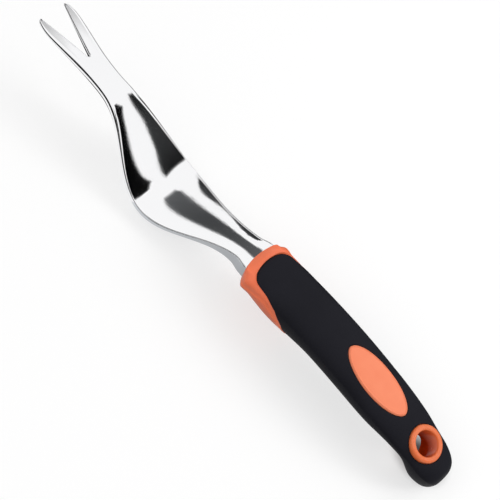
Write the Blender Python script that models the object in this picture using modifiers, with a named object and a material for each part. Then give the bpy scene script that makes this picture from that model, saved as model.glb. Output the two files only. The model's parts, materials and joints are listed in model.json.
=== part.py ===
"""Hand weeder: a cast aluminium fork with a fulcrum heel, on a two-colour moulded handle.

The pieces are modelled in the tool's own frame: X runs from the fork tip (-) to the butt (+),
Z is up, and the origin is on the neck axis at the front face of the collar.
An empty then lays the whole tool down on its heel and its pommel.
"""
import math

import bmesh
import bpy
from mathutils import Matrix, Vector

# Fits
CLEARANCE = 0.0003            # gap between two pieces that seat on each other

# Fork head, plan view: distances in front of the collar and half widths
HEAD_LENGTH = 0.1640          # collar face to tine tips
HEEL_FROM_COLLAR = 0.0576     # widest and lowest point of the fulcrum heel
WAIST_FROM_HEEL = 0.0614      # narrowest point of the fork
BEND_FROM_HEEL = 0.0554       # where the fork runs straight
NECK_FROM_COLLAR = 0.0080     # narrowest point of the neck
TIP_HALF_WIDTH = 0.0116
TIP_ROUND_LENGTH = 0.0110     # outer corner of each tine
TIP_END_HALF_WIDTH = 0.0086
WAIST_HALF_WIDTH = 0.0080
HEEL_HALF_WIDTH = 0.0209
NECK_HALF_WIDTH = 0.0093
BOSS_HALF_WIDTH = 0.0106

# Fork head, side view: heights of the rim over the neck axis
FORK_LEVEL = 0.0040
HEEL_LEVEL = -0.0197
BOSS_LEVEL = 0.0085

# Fork head, cross section: rim edge, whole depth and hollow of the top face
TIP_THICKNESS = 0.0014
TIP_LAND = 0.0011             # upright edge of the casting at the tip
RIM_THICKNESS = 0.0034        # and along the rest of the rim
FORK_DEPTH = 0.0048
HEEL_DEPTH = 0.0086
ROOT_DEPTH = 0.0100
ROOT_FROM_COLLAR = 0.0210
BOSS_DEPTH = 0.0186
FORK_HOLLOW = 0.0006
HEEL_HOLLOW = 0.0040
BOSS_CROWN = 0.0006
HEEL_BOW = 1.0                # power of the underside's bow: a parabola at the heel
BOSS_BOW = 0.5                # and an ellipse at the collar

# Notch between the tines
NOTCH_DEPTH = 0.0322
NOTCH_ROOT_RADIUS = 0.0006
NOTCH_SLOPE = 0.155           # half opening per length at the root
NOTCH_FLARE = 2.5             # extra half opening per length squared
NOTCH_OVERRUN = 0.0032        # reach of its cutter past the tips

# Tang inside the handle
SEAT_DEPTH = 0.0040           # how far the neck itself enters the collar
SHOULDER_STEP = 0.0001        # from the neck's end face to the tang's first ring
TANG_LENGTH = 0.0700
TANG_RISE = 0.0085            # the tang follows the arch of the handle
TANG_HALF_WIDTH = 0.0062
TANG_HALF_HEIGHT = 0.0042
TANG_SIDE = 0.0008            # half height of its flat sides
TANG_POWER = 4.0              # squareness of its cross section
TANG_TAPER = 0.72             # size of its far end
BARB_HEIGHT = 0.0009
BARB_COUNT = 3
BARB_PITCH = 0.0175
BARB_SETBACK = 0.0052         # foot of each barb, ahead of its pitch mark
BARB_FACE = 0.0009            # length of its steep face
BARB_RUN = 0.0105             # foot of the steep face to the end of the long slope

# Handle
HANDLE_LENGTH = 0.1470
HANDLE_HALF_WIDTH = 0.0148
ARCH_RADIUS = 0.3000          # top line of the handle
ARCH_PEAK_X = 0.0800
ARCH_PEAK_Z = 0.0209
CROWN_HEIGHT = 0.0046         # from the widest level up to the top line
COLLAR_ROUND = 0.0040         # rounded front edge of the collar
BUTT_ROUND = 0.0200           # length of the rounded end, seen from above
BUTT_DOME = 0.0080            # and seen from the side
BUTT_FLAT = 0.0030            # half size of the blunt end face
COLLAR_UNDER = -0.0115        # underside heights along the handle
GUARD_UNDER = -0.0138
GRIP_UNDER = -0.0032
PALM_UNDER = -0.0006
WAIST_UNDER = 0.0042
POMMEL_UNDER = -0.0056
GUARD_X = 0.0240
GRIP_FRONT_X = 0.0560
GRIP_REAR_X = 0.0960
WAIST_X = 0.1205
POMMEL_X = 0.1355
SECTION_POWER = 2.3           # squareness of the cross section

# Grip sleeve
SLEEVE_WALL = 0.0030
TONGUE_FRONT = 0.0047         # tip of the sleeve's tongue, behind the collar face
TONGUE_NOSE = 0.0105
TONGUE_HALF_WIDTH = 0.0136
TONGUE_FLOOR = 0.0080
WEDGE_TOP_X = 0.0210          # the sleeve's front edge runs down the side from here
WEDGE_TOP_Z = 0.0120
WEDGE_END_X = 0.0460
WEDGE_END_Z = -0.0080

# Thumb inlay
INLAY_X = 0.0866
INLAY_HALF_LENGTH = 0.0217
INLAY_HALF_WIDTH = 0.0090
INLAY_POINT = 1.12            # power that draws its two ends to a slight point

# Hang eye
EYE_X = 0.1262
EYE_BORE_RADIUS = 0.0068
EYE_WALL = 0.0016
EYE_FLANGE_RADIUS = 0.0100
EYE_PROUD = 0.0010
EYE_SEAT = 0.0036             # depth of the flange's seat under the top line
EYE_EDGE_ROUND = 0.0008

# Mesh fineness
HEAD_STEP = 0.0041
HALF_RING = 11
HANDLE_RING = 26
HANDLE_STEP = 0.0070
END_RINGS = 7
ROUND_RINGS = 3
TURN_STEPS = 36
OVAL_POINTS = 40
NOTCH_POINTS = 8
WELD = 0.00001
SHARP_ANGLE = 35.0            # degrees, from which an edge is shaded as a corner
TILT_PASSES = 4

FAR = 0.0600                  # reach of a cutter past the handle


def ease(t):
    t = min(max(t, 0.0), 1.0)
    return (1.0 - math.cos(math.pi * t)) / 2.0


def blend(start, end, t):
    return start + (end - start) * ease(t)


def along(points, x):
    """Height at x of a smooth line through a few (x, height) points, which never overshoots them."""
    slopes = [(z1 - z0) / (x1 - x0) for (x0, z0), (x1, z1) in zip(points, points[1:])]
    tangents = [0.0]
    for before, after in zip(slopes, slopes[1:]):
        tangents.append(2.0 * before * after / (before + after) if before * after > 0.0 else 0.0)
    tangents.append(0.0)
    x = min(max(x, points[0][0]), points[-1][0])
    i = max(k for k in range(len(slopes)) if points[k][0] <= x)
    (x0, z0), (x1, z1) = points[i], points[i + 1]
    span = x1 - x0
    t = (x - x0) / span
    rise = t * t * (3.0 - 2.0 * t)
    leave = tangents[i] * span * t * (1.0 - t) ** 2
    arrive = tangents[i + 1] * span * t * t * (1.0 - t)
    return z0 + (z1 - z0) * rise + leave - arrive


HEEL_X = -HEEL_FROM_COLLAR
FORK_WAIST_X = HEEL_X - WAIST_FROM_HEEL
BEND_X = HEEL_X - BEND_FROM_HEEL
NECK_X = -NECK_FROM_COLLAR
ROOT_X = -ROOT_FROM_COLLAR
TIP_X = -HEAD_LENGTH


def head_half_width(x):
    if x < FORK_WAIST_X:
        width = blend(WAIST_HALF_WIDTH, TIP_HALF_WIDTH, (FORK_WAIST_X - x) / (FORK_WAIST_X - TIP_X))
        into_tip = min(max((TIP_X + TIP_ROUND_LENGTH - x) / TIP_ROUND_LENGTH, 0.0), 1.0)
        return width - (TIP_HALF_WIDTH - TIP_END_HALF_WIDTH) * (1.0 - math.sqrt(1.0 - into_tip ** 2))
    if x < HEEL_X:
        return blend(HEEL_HALF_WIDTH, WAIST_HALF_WIDTH, (HEEL_X - x) / WAIST_FROM_HEEL)
    if x < NECK_X:
        return blend(HEEL_HALF_WIDTH, NECK_HALF_WIDTH, (x - HEEL_X) / (NECK_X - HEEL_X))
    return blend(NECK_HALF_WIDTH, BOSS_HALF_WIDTH, (x - NECK_X) / NECK_FROM_COLLAR)


def head_rim_level(x):
    if x < HEEL_X:
        return blend(HEEL_LEVEL, FORK_LEVEL, (HEEL_X - x) / BEND_FROM_HEEL)
    return blend(HEEL_LEVEL, BOSS_LEVEL, (x - HEEL_X) / HEEL_FROM_COLLAR)


def head_section(x, grow=0.0):
    """One ring of the casting: over the top face from -Y to +Y, then back along the underside."""
    half = head_half_width(x)
    rim = head_rim_level(x)
    depth = along(((TIP_X, TIP_THICKNESS), (FORK_WAIST_X, FORK_DEPTH), (HEEL_X, HEEL_DEPTH),
                   (ROOT_X, ROOT_DEPTH), (0.0, BOSS_DEPTH)), x)
    land = along(((TIP_X, TIP_LAND), (FORK_WAIST_X, RIM_THICKNESS), (0.0, RIM_THICKNESS)), x)
    hollow = along(((TIP_X, 0.0), (FORK_WAIST_X, FORK_HOLLOW), (HEEL_X, HEEL_HOLLOW),
                    (ROOT_X, FORK_HOLLOW), (0.0, -BOSS_CROWN)), x)
    power = along(((HEEL_X, HEEL_BOW), (0.0, BOSS_BOW)), x)
    top, under = [], []
    for i in range(HALF_RING):
        across = math.sin(math.pi * (i / (HALF_RING - 1) - 0.5))
        bow = 1.0 - across * across
        top.append(Vector((x, across * (half + grow), rim + grow - hollow * bow)))
        low = rim - land - (depth - land) * bow ** power
        under.append(Vector((x, across * (half + grow), low - grow)))
    return top + under[::-1]


def tang_section(x, size, grow=0.0):
    """One ring of the tang, in the same order as the casting's rings."""
    reach = (x - SEAT_DEPTH) / TANG_LENGTH
    centre = BOSS_LEVEL - BOSS_DEPTH / 2.0 + TANG_RISE * (1.0 - math.cos(math.pi / 2.0 * reach))
    half = TANG_HALF_WIDTH * size + grow
    tall = TANG_HALF_HEIGHT * size + grow
    top, under = [], []
    for i in range(HALF_RING):
        angle = math.pi * (1.0 - i / (HALF_RING - 1))
        across = math.copysign(abs(math.cos(angle)) ** (2.0 / TANG_POWER), math.cos(angle))
        up = max(math.sin(angle) ** (2.0 / TANG_POWER) * tall, TANG_SIDE)
        top.append(Vector((x, across * half, centre + up)))
        under.append(Vector((x, across * half, centre - up)))
    return top + under[::-1]


def head_rings(start, grow=0.0):
    count = math.ceil(-start / HEAD_STEP)
    rings = [head_section(start * (1.0 - i / count), grow) for i in range(count + 1)]
    seat = head_section(0.0, grow)
    rings.append([p + Vector((SEAT_DEPTH + grow, 0.0, 0.0)) for p in seat])
    shoulder = SEAT_DEPTH + grow
    rings.append(tang_section(shoulder + SHOULDER_STEP, 1.0, grow))
    for i in range(1, BARB_COUNT + 1):
        foot = SEAT_DEPTH + BARB_PITCH * i - BARB_SETBACK
        plain = 1.0 - (1.0 - TANG_TAPER) * i / (BARB_COUNT + 1)
        crest = plain + BARB_HEIGHT / TANG_HALF_HEIGHT
        rings.append(tang_section(foot, plain, grow))
        rings.append(tang_section(foot + BARB_FACE, crest, grow))
        rings.append(tang_section(foot + BARB_RUN, plain, grow))
    rings.append(tang_section(SEAT_DEPTH + TANG_LENGTH + grow, TANG_TAPER, grow))
    return rings


def arch_height(x):
    """Top line of the handle: an arc with its peak under the thumb."""
    offset = x - ARCH_PEAK_X
    return ARCH_PEAK_Z - ARCH_RADIUS + math.sqrt(ARCH_RADIUS ** 2 - offset ** 2)


def arch_slope(x):
    return math.asin((x - ARCH_PEAK_X) / ARCH_RADIUS)


def handle_section(x, inset=0.0):
    """One ring of the handle at x, drawn in by inset on every side."""
    under = along(((0.0, COLLAR_UNDER), (GUARD_X, GUARD_UNDER), (GRIP_FRONT_X, GRIP_UNDER),
                   (GRIP_REAR_X, PALM_UNDER), (WAIST_X, WAIST_UNDER), (POMMEL_X, POMMEL_UNDER)), x)
    top = arch_height(x)
    widest = top - CROWN_HEIGHT
    middle = (top + under) / 2.0
    into_butt = min(max((x - HANDLE_LENGTH + BUTT_ROUND) / BUTT_ROUND, 0.0), 1.0)
    into_dome = min(max((x - HANDLE_LENGTH + BUTT_DOME) / BUTT_DOME, 0.0), 1.0)
    half = BUTT_FLAT + (HANDLE_HALF_WIDTH - BUTT_FLAT) * math.sqrt(1.0 - into_butt ** 2)
    tall = (top - under) / 2.0
    dome = (BUTT_FLAT + (tall - BUTT_FLAT) * math.sqrt(1.0 - into_dome ** 2)) / tall
    ring = []
    for i in range(HANDLE_RING):
        angle = 2.0 * math.pi * i / HANDLE_RING
        across = math.copysign(abs(math.cos(angle)) ** (2.0 / SECTION_POWER), math.cos(angle))
        up = math.copysign(abs(math.sin(angle)) ** (2.0 / SECTION_POWER), math.sin(angle))
        rise = (top - widest if up > 0.0 else widest - under) * up
        z = middle + (widest - middle + rise) * dome - inset * up
        ring.append(Vector((x, across * (half - inset), z)))
    return ring


def handle_rings(inset=0.0):
    """Rings from the collar to the butt; an inset body is shorter at both ends."""
    front = inset
    back = HANDLE_LENGTH - inset
    body_start = front + COLLAR_ROUND
    body_end = back - BUTT_ROUND
    rings = []
    for i in range(ROUND_RINGS):
        turn = math.pi / 2.0 * i / ROUND_RINGS
        drawn = COLLAR_ROUND * (1.0 - math.sin(turn))
        rings.append(handle_section(front + COLLAR_ROUND * (1.0 - math.cos(turn)), inset + drawn))
    count = math.ceil((body_end - body_start) / HANDLE_STEP)
    for i in range(count):
        rings.append(handle_section(body_start + (body_end - body_start) * i / count, inset))
    for i in range(END_RINGS + 1):
        rings.append(handle_section(body_end + BUTT_ROUND * math.sin(math.pi / 2.0 * i / END_RINGS), inset))
    return rings


def eye_frame():
    """The hang eye's axis stands square on the top line."""
    centre = Vector((EYE_X, 0.0, arch_height(EYE_X)))
    return Matrix.Translation(centre) @ Matrix.Rotation(arch_slope(EYE_X), 4, "Y")


def oval_outline(grow=0.0):
    """Plan of the thumb inlay, a long oval with slightly pointed ends."""
    points = []
    for i in range(OVAL_POINTS):
        angle = 2.0 * math.pi * i / OVAL_POINTS
        side = math.copysign(abs(math.sin(angle)) ** INLAY_POINT, math.sin(angle))
        x = INLAY_X + (INLAY_HALF_LENGTH + grow) * math.cos(angle)
        points.append((x, (INLAY_HALF_WIDTH + grow) * side))
    return points


def notch_outline():
    """Plan of the notch between the tines, from its round root out past the tips."""
    root_x = TIP_X + NOTCH_DEPTH
    edge = []
    for i in range(NOTCH_POINTS + 1):
        run = (NOTCH_DEPTH + NOTCH_OVERRUN) * i / NOTCH_POINTS
        edge.append((root_x - run, NOTCH_ROOT_RADIUS + NOTCH_SLOPE * run + NOTCH_FLARE * run * run))
    root = [(root_x + NOTCH_ROOT_RADIUS, 0.0)]
    return root + edge + [(x, -y) for x, y in reversed(edge)]


def tongue_outline(shrink=0.0):
    """Plan of the sleeve's tongue: a half ellipse that runs back as a straight strip."""
    half = TONGUE_HALF_WIDTH - shrink
    middle = TONGUE_FRONT + TONGUE_NOSE
    points = [(WEDGE_END_X, half), (WEDGE_END_X, -half)]
    for i in range(OVAL_POINTS // 2 + 1):
        angle = math.pi * (i / (OVAL_POINTS // 2) - 0.5)
        points.append((middle - (TONGUE_NOSE - shrink) * math.cos(angle), half * math.sin(angle)))
    return points


def wedge_outline(shift=0.0):
    """Side view of everything in front of the sleeve's slanting edge."""
    slant = (WEDGE_END_X - WEDGE_TOP_X) / (WEDGE_END_Z - WEDGE_TOP_Z)
    low_x = WEDGE_TOP_X + slant * (-FAR - WEDGE_TOP_Z) + shift
    high_x = WEDGE_TOP_X + slant * (FAR - WEDGE_TOP_Z) + shift
    return [(-2.0 * FAR, -FAR), (low_x, -FAR), (high_x, FAR), (-2.0 * FAR, FAR)]


def new_object(name, bm, collection):
    mesh = bpy.data.meshes.new(name)
    bmesh.ops.recalc_face_normals(bm, faces=bm.faces)
    bm.to_mesh(mesh)
    bm.free()
    thing = bpy.data.objects.new(name, mesh)
    collection.objects.link(thing)
    return thing


def loft(name, rings, collection):
    """Skin a row of rings that have the same number of points, and close both ends."""
    bm = bmesh.new()
    loops = [[bm.verts.new(point) for point in ring] for ring in rings]
    for near, far in zip(loops, loops[1:]):
        for i in range(len(near)):
            j = (i + 1) % len(near)
            bm.faces.new((near[i], near[j], far[j], far[i]))
    bm.faces.new(loops[0])
    bm.faces.new(loops[-1])
    return new_object(name, bm, collection)


def prism(name, outline, low, high, collection, upright=True):
    """Extrude an outline: a plan outline along Z, or a side view along Y."""
    bm = bmesh.new()
    if upright:
        base = [bm.verts.new((x, y, low)) for x, y in outline]
        reach = Vector((0.0, 0.0, high - low))
    else:
        base = [bm.verts.new((x, low, z)) for x, z in outline]
        reach = Vector((0.0, high - low, 0.0))
    face = bm.faces.new(base)
    grown = bmesh.ops.extrude_face_region(bm, geom=[face])["geom"]
    bmesh.ops.translate(bm, vec=reach, verts=[v for v in grown if isinstance(v, bmesh.types.BMVert)])
    return new_object(name, bm, collection)


def turned(name, profile, closed, frame, collection):
    """Turn a profile of (radius, height) points about the Z axis of a frame."""
    bm = bmesh.new()
    verts = [bm.verts.new((radius, 0.0, height)) for radius, height in profile]
    pairs = list(zip(verts, verts[1:]))
    if closed:
        pairs.append((verts[-1], verts[0]))
    for pair in pairs:
        bm.edges.new(pair)
    thing = new_object(name, bm, collection)
    thing.matrix_local = frame
    screw = thing.modifiers.new("turn", "SCREW")
    screw.steps = TURN_STEPS
    screw.render_steps = TURN_STEPS
    screw.use_merge_vertices = True
    screw.merge_threshold = WELD
    screw.use_smooth_shade = True
    return thing


def boolean(thing, operation, other):
    modifier = thing.modifiers.new(operation.lower() + " " + other.name, "BOOLEAN")
    modifier.operation = operation
    modifier.object = other
    modifier.solver = "EXACT"


def finish(thing, name, colour, roughness, metallic):
    """Give a piece its material and smooth its round faces."""
    material = bpy.data.materials.new(name)
    material.use_nodes = True
    shader = material.node_tree.nodes["Principled BSDF"]
    shader.inputs["Base Color"].default_value = (*colour, 1.0)
    shader.inputs["Roughness"].default_value = roughness
    shader.inputs["Metallic"].default_value = metallic
    thing.data.materials.append(material)
    thing.data.shade_smooth()
    thing.data.set_sharp_from_angle(angle=math.radians(SHARP_ANGLE))


def front_cutter(name, clearance, cutters):
    """Everything in front of the sleeve: the wedge, less the room for the tongue."""
    wedge = prism(name, wedge_outline(clearance), -FAR, FAR, cutters, upright=False)
    tongue = prism(name + "_tongue", tongue_outline(clearance), TONGUE_FLOOR + clearance, FAR, cutters)
    boolean(wedge, "DIFFERENCE", tongue)
    return wedge


def make_fork_head(parts, cutters):
    head = loft("fork_head", head_rings(TIP_X), parts)
    notch = prism("notch", notch_outline(), -FAR, FAR, cutters)
    boolean(head, "DIFFERENCE", notch)
    finish(head, "polished_aluminium", (0.83, 0.83, 0.84), 0.12, 1.0)
    return head


def make_handle(parts, cutters):
    outer = loft("handle_outer", handle_rings(), cutters)
    spine = loft("spine", handle_rings(SLEEVE_WALL), cutters)
    spine_room = loft("spine_room", handle_rings(SLEEVE_WALL - CLEARANCE), cutters)
    socket = loft("tang_socket", head_rings(-2.0 * HEAD_STEP, CLEARANCE), cutters)
    front = front_cutter("front_region", 0.0, cutters)
    front_room = front_cutter("front_room", CLEARANCE, cutters)
    barrel = EYE_BORE_RADIUS + EYE_WALL
    eye_room = turned("eye_room", (
        (0.0, FAR), (EYE_FLANGE_RADIUS + CLEARANCE, FAR), (EYE_FLANGE_RADIUS + CLEARANCE, -EYE_SEAT),
        (barrel + CLEARANCE, -EYE_SEAT), (barrel + CLEARANCE, -FAR),
        (0.0, -FAR)), False, eye_frame(), cutters)
    inlay_low = arch_height(INLAY_X) - 2.0 * SLEEVE_WALL
    window = prism("inlay_window", oval_outline(CLEARANCE), inlay_low, FAR, cutters)

    core = loft("handle_core", handle_rings(), parts)
    boolean(core, "INTERSECT", front)
    boolean(core, "UNION", spine)
    boolean(core, "DIFFERENCE", socket)
    boolean(core, "DIFFERENCE", eye_room)
    finish(core, "orange_polypropylene", (0.90, 0.20, 0.09), 0.35, 0.0)

    sleeve = loft("grip_sleeve", handle_rings(), parts)
    boolean(sleeve, "DIFFERENCE", front_room)
    boolean(sleeve, "DIFFERENCE", spine_room)
    boolean(sleeve, "DIFFERENCE", window)
    boolean(sleeve, "DIFFERENCE", eye_room)
    finish(sleeve, "black_rubber", (0.02, 0.02, 0.025), 0.6, 0.0)

    inlay = prism("thumb_inlay", oval_outline(), inlay_low, FAR, parts)
    boolean(inlay, "INTERSECT", outer)
    boolean(inlay, "DIFFERENCE", spine_room)
    finish(inlay, "salmon_pad", (0.93, 0.27, 0.15), 0.45, 0.0)

    seat = CLEARANCE - EYE_SEAT
    eye = turned("hang_eye", (
        (EYE_BORE_RADIUS + EYE_EDGE_ROUND, EYE_PROUD), (EYE_FLANGE_RADIUS - EYE_EDGE_ROUND, EYE_PROUD),
        (EYE_FLANGE_RADIUS, EYE_PROUD - EYE_EDGE_ROUND), (EYE_FLANGE_RADIUS, seat), (barrel, seat),
        (barrel, -FAR / 2.0), (EYE_BORE_RADIUS, -FAR / 2.0),
        (EYE_BORE_RADIUS, EYE_PROUD - EYE_EDGE_ROUND)), True, eye_frame(), parts)
    half = EYE_FLANGE_RADIUS * 2.0
    square = [(EYE_X - half, -half), (EYE_X + half, -half), (EYE_X + half, half), (EYE_X - half, half)]
    below = prism("below_handle", square, -FAR, arch_height(EYE_X) - EYE_SEAT * 2.0, cutters)
    boolean(below, "DIFFERENCE", outer)
    boolean(eye, "DIFFERENCE", below)
    finish(eye, "glossy_orange_bush", (0.72, 0.16, 0.06), 0.25, 0.0)
    return [core, sleeve, inlay, eye]


def lowest_tilt(points):
    """Angle that brings the handle down until the heel and the handle both touch the ground."""
    heel = min((p for p in points if p.x < 0.0), key=lambda p: p.z)
    return min(math.atan2(p.z - heel.z, p.x - heel.x) for p in points if p.x > 0.0)


def lay_down(stand, pieces):
    """Rest the tool on its heel and pommel, with the origin under the middle of its box."""
    depsgraph = bpy.context.evaluated_depsgraph_get()
    points = []
    for piece in pieces:
        shown = piece.evaluated_get(depsgraph)
        points += [piece.matrix_local @ v.co for v in shown.data.vertices]
    tilt = 0.0
    for _ in range(TILT_PASSES):
        turn = Matrix.Rotation(tilt, 3, "Y")
        tilt += lowest_tilt([turn @ p for p in points])
    turned_points = [Matrix.Rotation(tilt, 3, "Y") @ p for p in points]
    xs = [p.x for p in turned_points]
    stand.rotation_euler = (0.0, tilt, 0.0)
    stand.location = (-(min(xs) + max(xs)) / 2.0, 0.0, -min(p.z for p in turned_points))


def main():
    for thing in list(bpy.data.objects):
        bpy.data.objects.remove(thing, do_unlink=True)
    parts = bpy.data.collections.new("hand_weeder")
    cutters = bpy.data.collections.new("cutters")
    for collection in (parts, cutters):
        bpy.context.scene.collection.children.link(collection)
    pieces = [make_fork_head(parts, cutters)] + make_handle(parts, cutters)
    for cutter in cutters.objects:
        cutter.hide_render = True
        cutter.display_type = "WIRE"
    stand = bpy.data.objects.new("weeder", None)
    parts.objects.link(stand)
    for thing in pieces + list(cutters.objects):
        thing.parent = stand
    bpy.context.view_layer.update()
    lay_down(stand, pieces)
    bpy.context.view_layer.update()


main()
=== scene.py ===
import json
import math

import bmesh
import bpy
from mathutils import Matrix, Vector


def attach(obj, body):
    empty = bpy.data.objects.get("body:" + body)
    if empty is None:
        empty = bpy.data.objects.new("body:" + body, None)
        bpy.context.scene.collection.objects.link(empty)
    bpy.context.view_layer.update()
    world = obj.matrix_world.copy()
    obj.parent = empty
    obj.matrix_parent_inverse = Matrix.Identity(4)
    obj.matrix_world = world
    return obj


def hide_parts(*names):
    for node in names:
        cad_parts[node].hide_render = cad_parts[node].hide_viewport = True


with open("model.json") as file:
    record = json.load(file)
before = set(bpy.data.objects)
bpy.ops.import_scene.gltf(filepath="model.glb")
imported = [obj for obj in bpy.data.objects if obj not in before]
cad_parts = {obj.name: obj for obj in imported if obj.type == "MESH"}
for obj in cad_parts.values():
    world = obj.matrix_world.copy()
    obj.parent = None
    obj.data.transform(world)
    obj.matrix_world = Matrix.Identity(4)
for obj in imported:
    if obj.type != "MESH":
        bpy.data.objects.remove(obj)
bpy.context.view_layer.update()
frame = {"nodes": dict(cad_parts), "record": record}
print("frame loaded:", ", ".join(sorted(frame["nodes"])))


# small helpers

def clamp(t):
    return min(max(t, 0.0), 1.0)


def ease(start, end, t):  # half a cosine wave from start to end
    return start + (end - start) * (1.0 - math.cos(math.pi * clamp(t))) / 2.0


def signedPower(value, power):
    return math.copysign(abs(value) ** power, value)


def along(points, x):  # smooth line through a few points, never past them
    slopes = [(b[1] - a[1]) / (b[0] - a[0]) for a, b in zip(points, points[1:])]
    tangents = [0.0]
    for before, after in zip(slopes, slopes[1:]):
        tangents.append(2.0 * before * after / (before + after) if before * after > 0.0 else 0.0)
    tangents.append(0.0)
    x = min(max(x, points[0][0]), points[-1][0])
    i = max(k for k in range(len(slopes)) if points[k][0] <= x)
    span = points[i + 1][0] - points[i][0]
    t = (x - points[i][0]) / span
    rise = (points[i + 1][1] - points[i][1]) * t * t * (3.0 - 2.0 * t)
    leave = tangents[i] * span * t * (1.0 - t) ** 2
    arrive = tangents[i + 1] * span * t * t * (1.0 - t)
    return points[i][1] + rise + leave - arrive


def roundCorner(start, corner, end, count):  # count spots on a curve from start to end, pulled to the corner
    spots = []
    for i in range(count):
        t = i / (count - 1)
        spots.append(start * (1.0 - t) ** 2 + corner * (2.0 * t * (1.0 - t)) + end * t * t)
    return spots


def newRing(bm, segments):  # a ring of vertices and the angle of each
    ring = bmesh.ops.create_circle(bm, segments=segments, radius=1.0)["verts"]
    return ring, [math.atan2(v.co.y, v.co.x) for v in ring]


def ringEdges(bm, ring):
    return [bm.edges.get((ring[i - 1], ring[i])) for i in range(len(ring))]


def place(ring, spots):
    for v, spot in zip(ring, spots):
        v.co = spot


def growRing(bm, ring, spots):  # extrude a closed ring to new places
    made = bmesh.ops.extrude_edge_only(bm, edges=ringEdges(bm, ring))["geom"]
    fresh = {v for v in made if isinstance(v, bmesh.types.BMVert)}
    grown = []
    for v in ring:
        grown.append(next(e.other_vert(v) for e in v.link_edges if e.other_vert(v) in fresh))
    place(grown, spots)
    return grown


def closeRing(bm, ring):  # draw the last ring together to one point
    middle = sum((v.co for v in ring), Vector()) / len(ring)
    bmesh.ops.pointmerge(bm, verts=ring, merge_co=middle)


def walk(edges):  # put the vertices of one closed loop of edges in order
    left = set(edges[1:])
    ring = list(edges[0].verts)
    while left:
        step = next(e for e in ring[-1].link_edges if e in left)
        left.remove(step)
        ring.append(step.other_vert(ring[-1]))
    return ring[:-1]


def openHole(bm, rings, rows, columns, rimSpot, surface, steps):
    # take a patch out of a grid of rings and lead its edge to the rim of a hole
    patch = {rings[r][c] for r in rows for c in columns}
    faces = [f for f in bm.faces if all(v in patch for v in f.verts)]
    inside = set(faces)
    rim = [e for f in faces for e in f.edges if any(g not in inside for g in e.link_faces)]
    bmesh.ops.delete(bm, geom=faces, context="FACES")
    ring = walk(rim)
    starts = [v.co.copy() for v in ring]
    ends = [rimSpot(spot) for spot in starts]
    for step in range(1, steps + 1):
        spots = []
        for start, end in zip(starts, ends):
            spot = start.lerp(end, step / steps)
            spots.append(end if step == steps else Vector((spot.x, spot.y, surface(spot.x, spot.y))))
        ring = growRing(bm, ring, spots)
    return ring


def joinRings(bm, first, second):
    bmesh.ops.bridge_loops(bm, edges=ringEdges(bm, first) + ringEdges(bm, second))


def roundEdges(bm, edges, width):
    bmesh.ops.bevel(bm, geom=edges, offset=width, offset_type="OFFSET", affect="EDGES",
                    segments=2, profile=0.5, material=-1, clamp_overlap=True)


smoothLevels = 1


def finishPiece(bm, name, node, material):  # mesh in the frame, smooth, riding on the tool
    bmesh.ops.transform(bm, matrix=toFrame, verts=bm.verts)
    bmesh.ops.recalc_face_normals(bm, faces=bm.faces)
    mesh = bpy.data.meshes.new(name)
    bm.to_mesh(mesh)
    bm.free()
    mesh.shade_smooth()
    mesh.materials.append(material)
    piece = bpy.data.objects.new(name, mesh)
    bpy.context.scene.collection.objects.link(piece)
    soft = piece.modifiers.new("smooth form", "SUBSURF")
    soft.levels = smoothLevels
    soft.render_levels = smoothLevels
    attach(piece, "root")
    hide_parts(node)
    print("made", name, len(mesh.polygons), "faces before smoothing")


# the handle's outer form, in the tool's own frame: X from tip to butt, Z up, origin at the collar

handle = {
    "length": 0.1471,
    "archRadius": 0.300,     # top line
    "archPeakX": 0.080,
    "archPeakZ": 0.0209,
    # along the tool: half the width, and the height from the widest level to the top
    "half": ((0.0, 0.0157), (0.030, 0.0153), (0.090, 0.0152), (0.115, 0.0141), (0.130, 0.0128)),
    "crown": ((0.0, 0.0046), (0.028, 0.0060), (0.085, 0.0060), (0.118, 0.0042)),
    "squareness": 2.2,
    "buttRound": 0.020,
    "buttDome": 0.006,
    "buttPower": 2.6,
    "gap": 0.0003,           # between neighbours
    "wall": 0.003,           # rubber over the core
    # underside along the tool
    "under": ((0.0, -0.0062), (0.024, -0.0102), (0.056, -0.0020),
              (0.096, 0.0002), (0.1205, 0.0057), (0.1355, -0.0050)),
}


def topLine(x):
    offset = x - handle["archPeakX"]
    return handle["archPeakZ"] - handle["archRadius"] + math.sqrt(handle["archRadius"] ** 2 - offset ** 2)


def closing(x, reach, inset):  # 1 along the handle, down to 0 at the butt
    into = clamp((x - handle["length"] + inset + reach) / reach)
    return (1.0 - into ** handle["buttPower"]) ** (1.0 / handle["buttPower"])


def handleHalf(x, inset):
    return (along(handle["half"], x) - inset) * closing(x, handle["buttRound"], inset)


def handleHeight(x, up, inset):  # up from -1 on the underside to 1 on the top line
    upper = topLine(x) - inset
    lower = along(handle["under"], x) + inset
    widest = topLine(x) - along(handle["crown"], x)
    middle = (upper + lower) / 2.0
    rise = (upper - widest if up > 0.0 else widest - lower) * up
    return middle + (widest - middle + rise) * closing(x, handle["buttDome"], inset)


def handleSpot(x, angle, inset):
    power = 2.0 / handle["squareness"]
    return Vector((x, handleHalf(x, inset) * signedPower(math.cos(angle), power),
                   handleHeight(x, signedPower(math.sin(angle), power), inset)))


def handleFace(side, inset):  # height of the top (1) or underside (-1) over a spot of the plan
    def surface(x, y):
        across = clamp(abs(y) / handleHalf(x, inset)) ** handle["squareness"]
        return handleHeight(x, side * (1.0 - across) ** (1.0 / handle["squareness"]), inset)
    return surface


# the hang eye's axis stands square on the top line, and its rim is the record's mount

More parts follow.
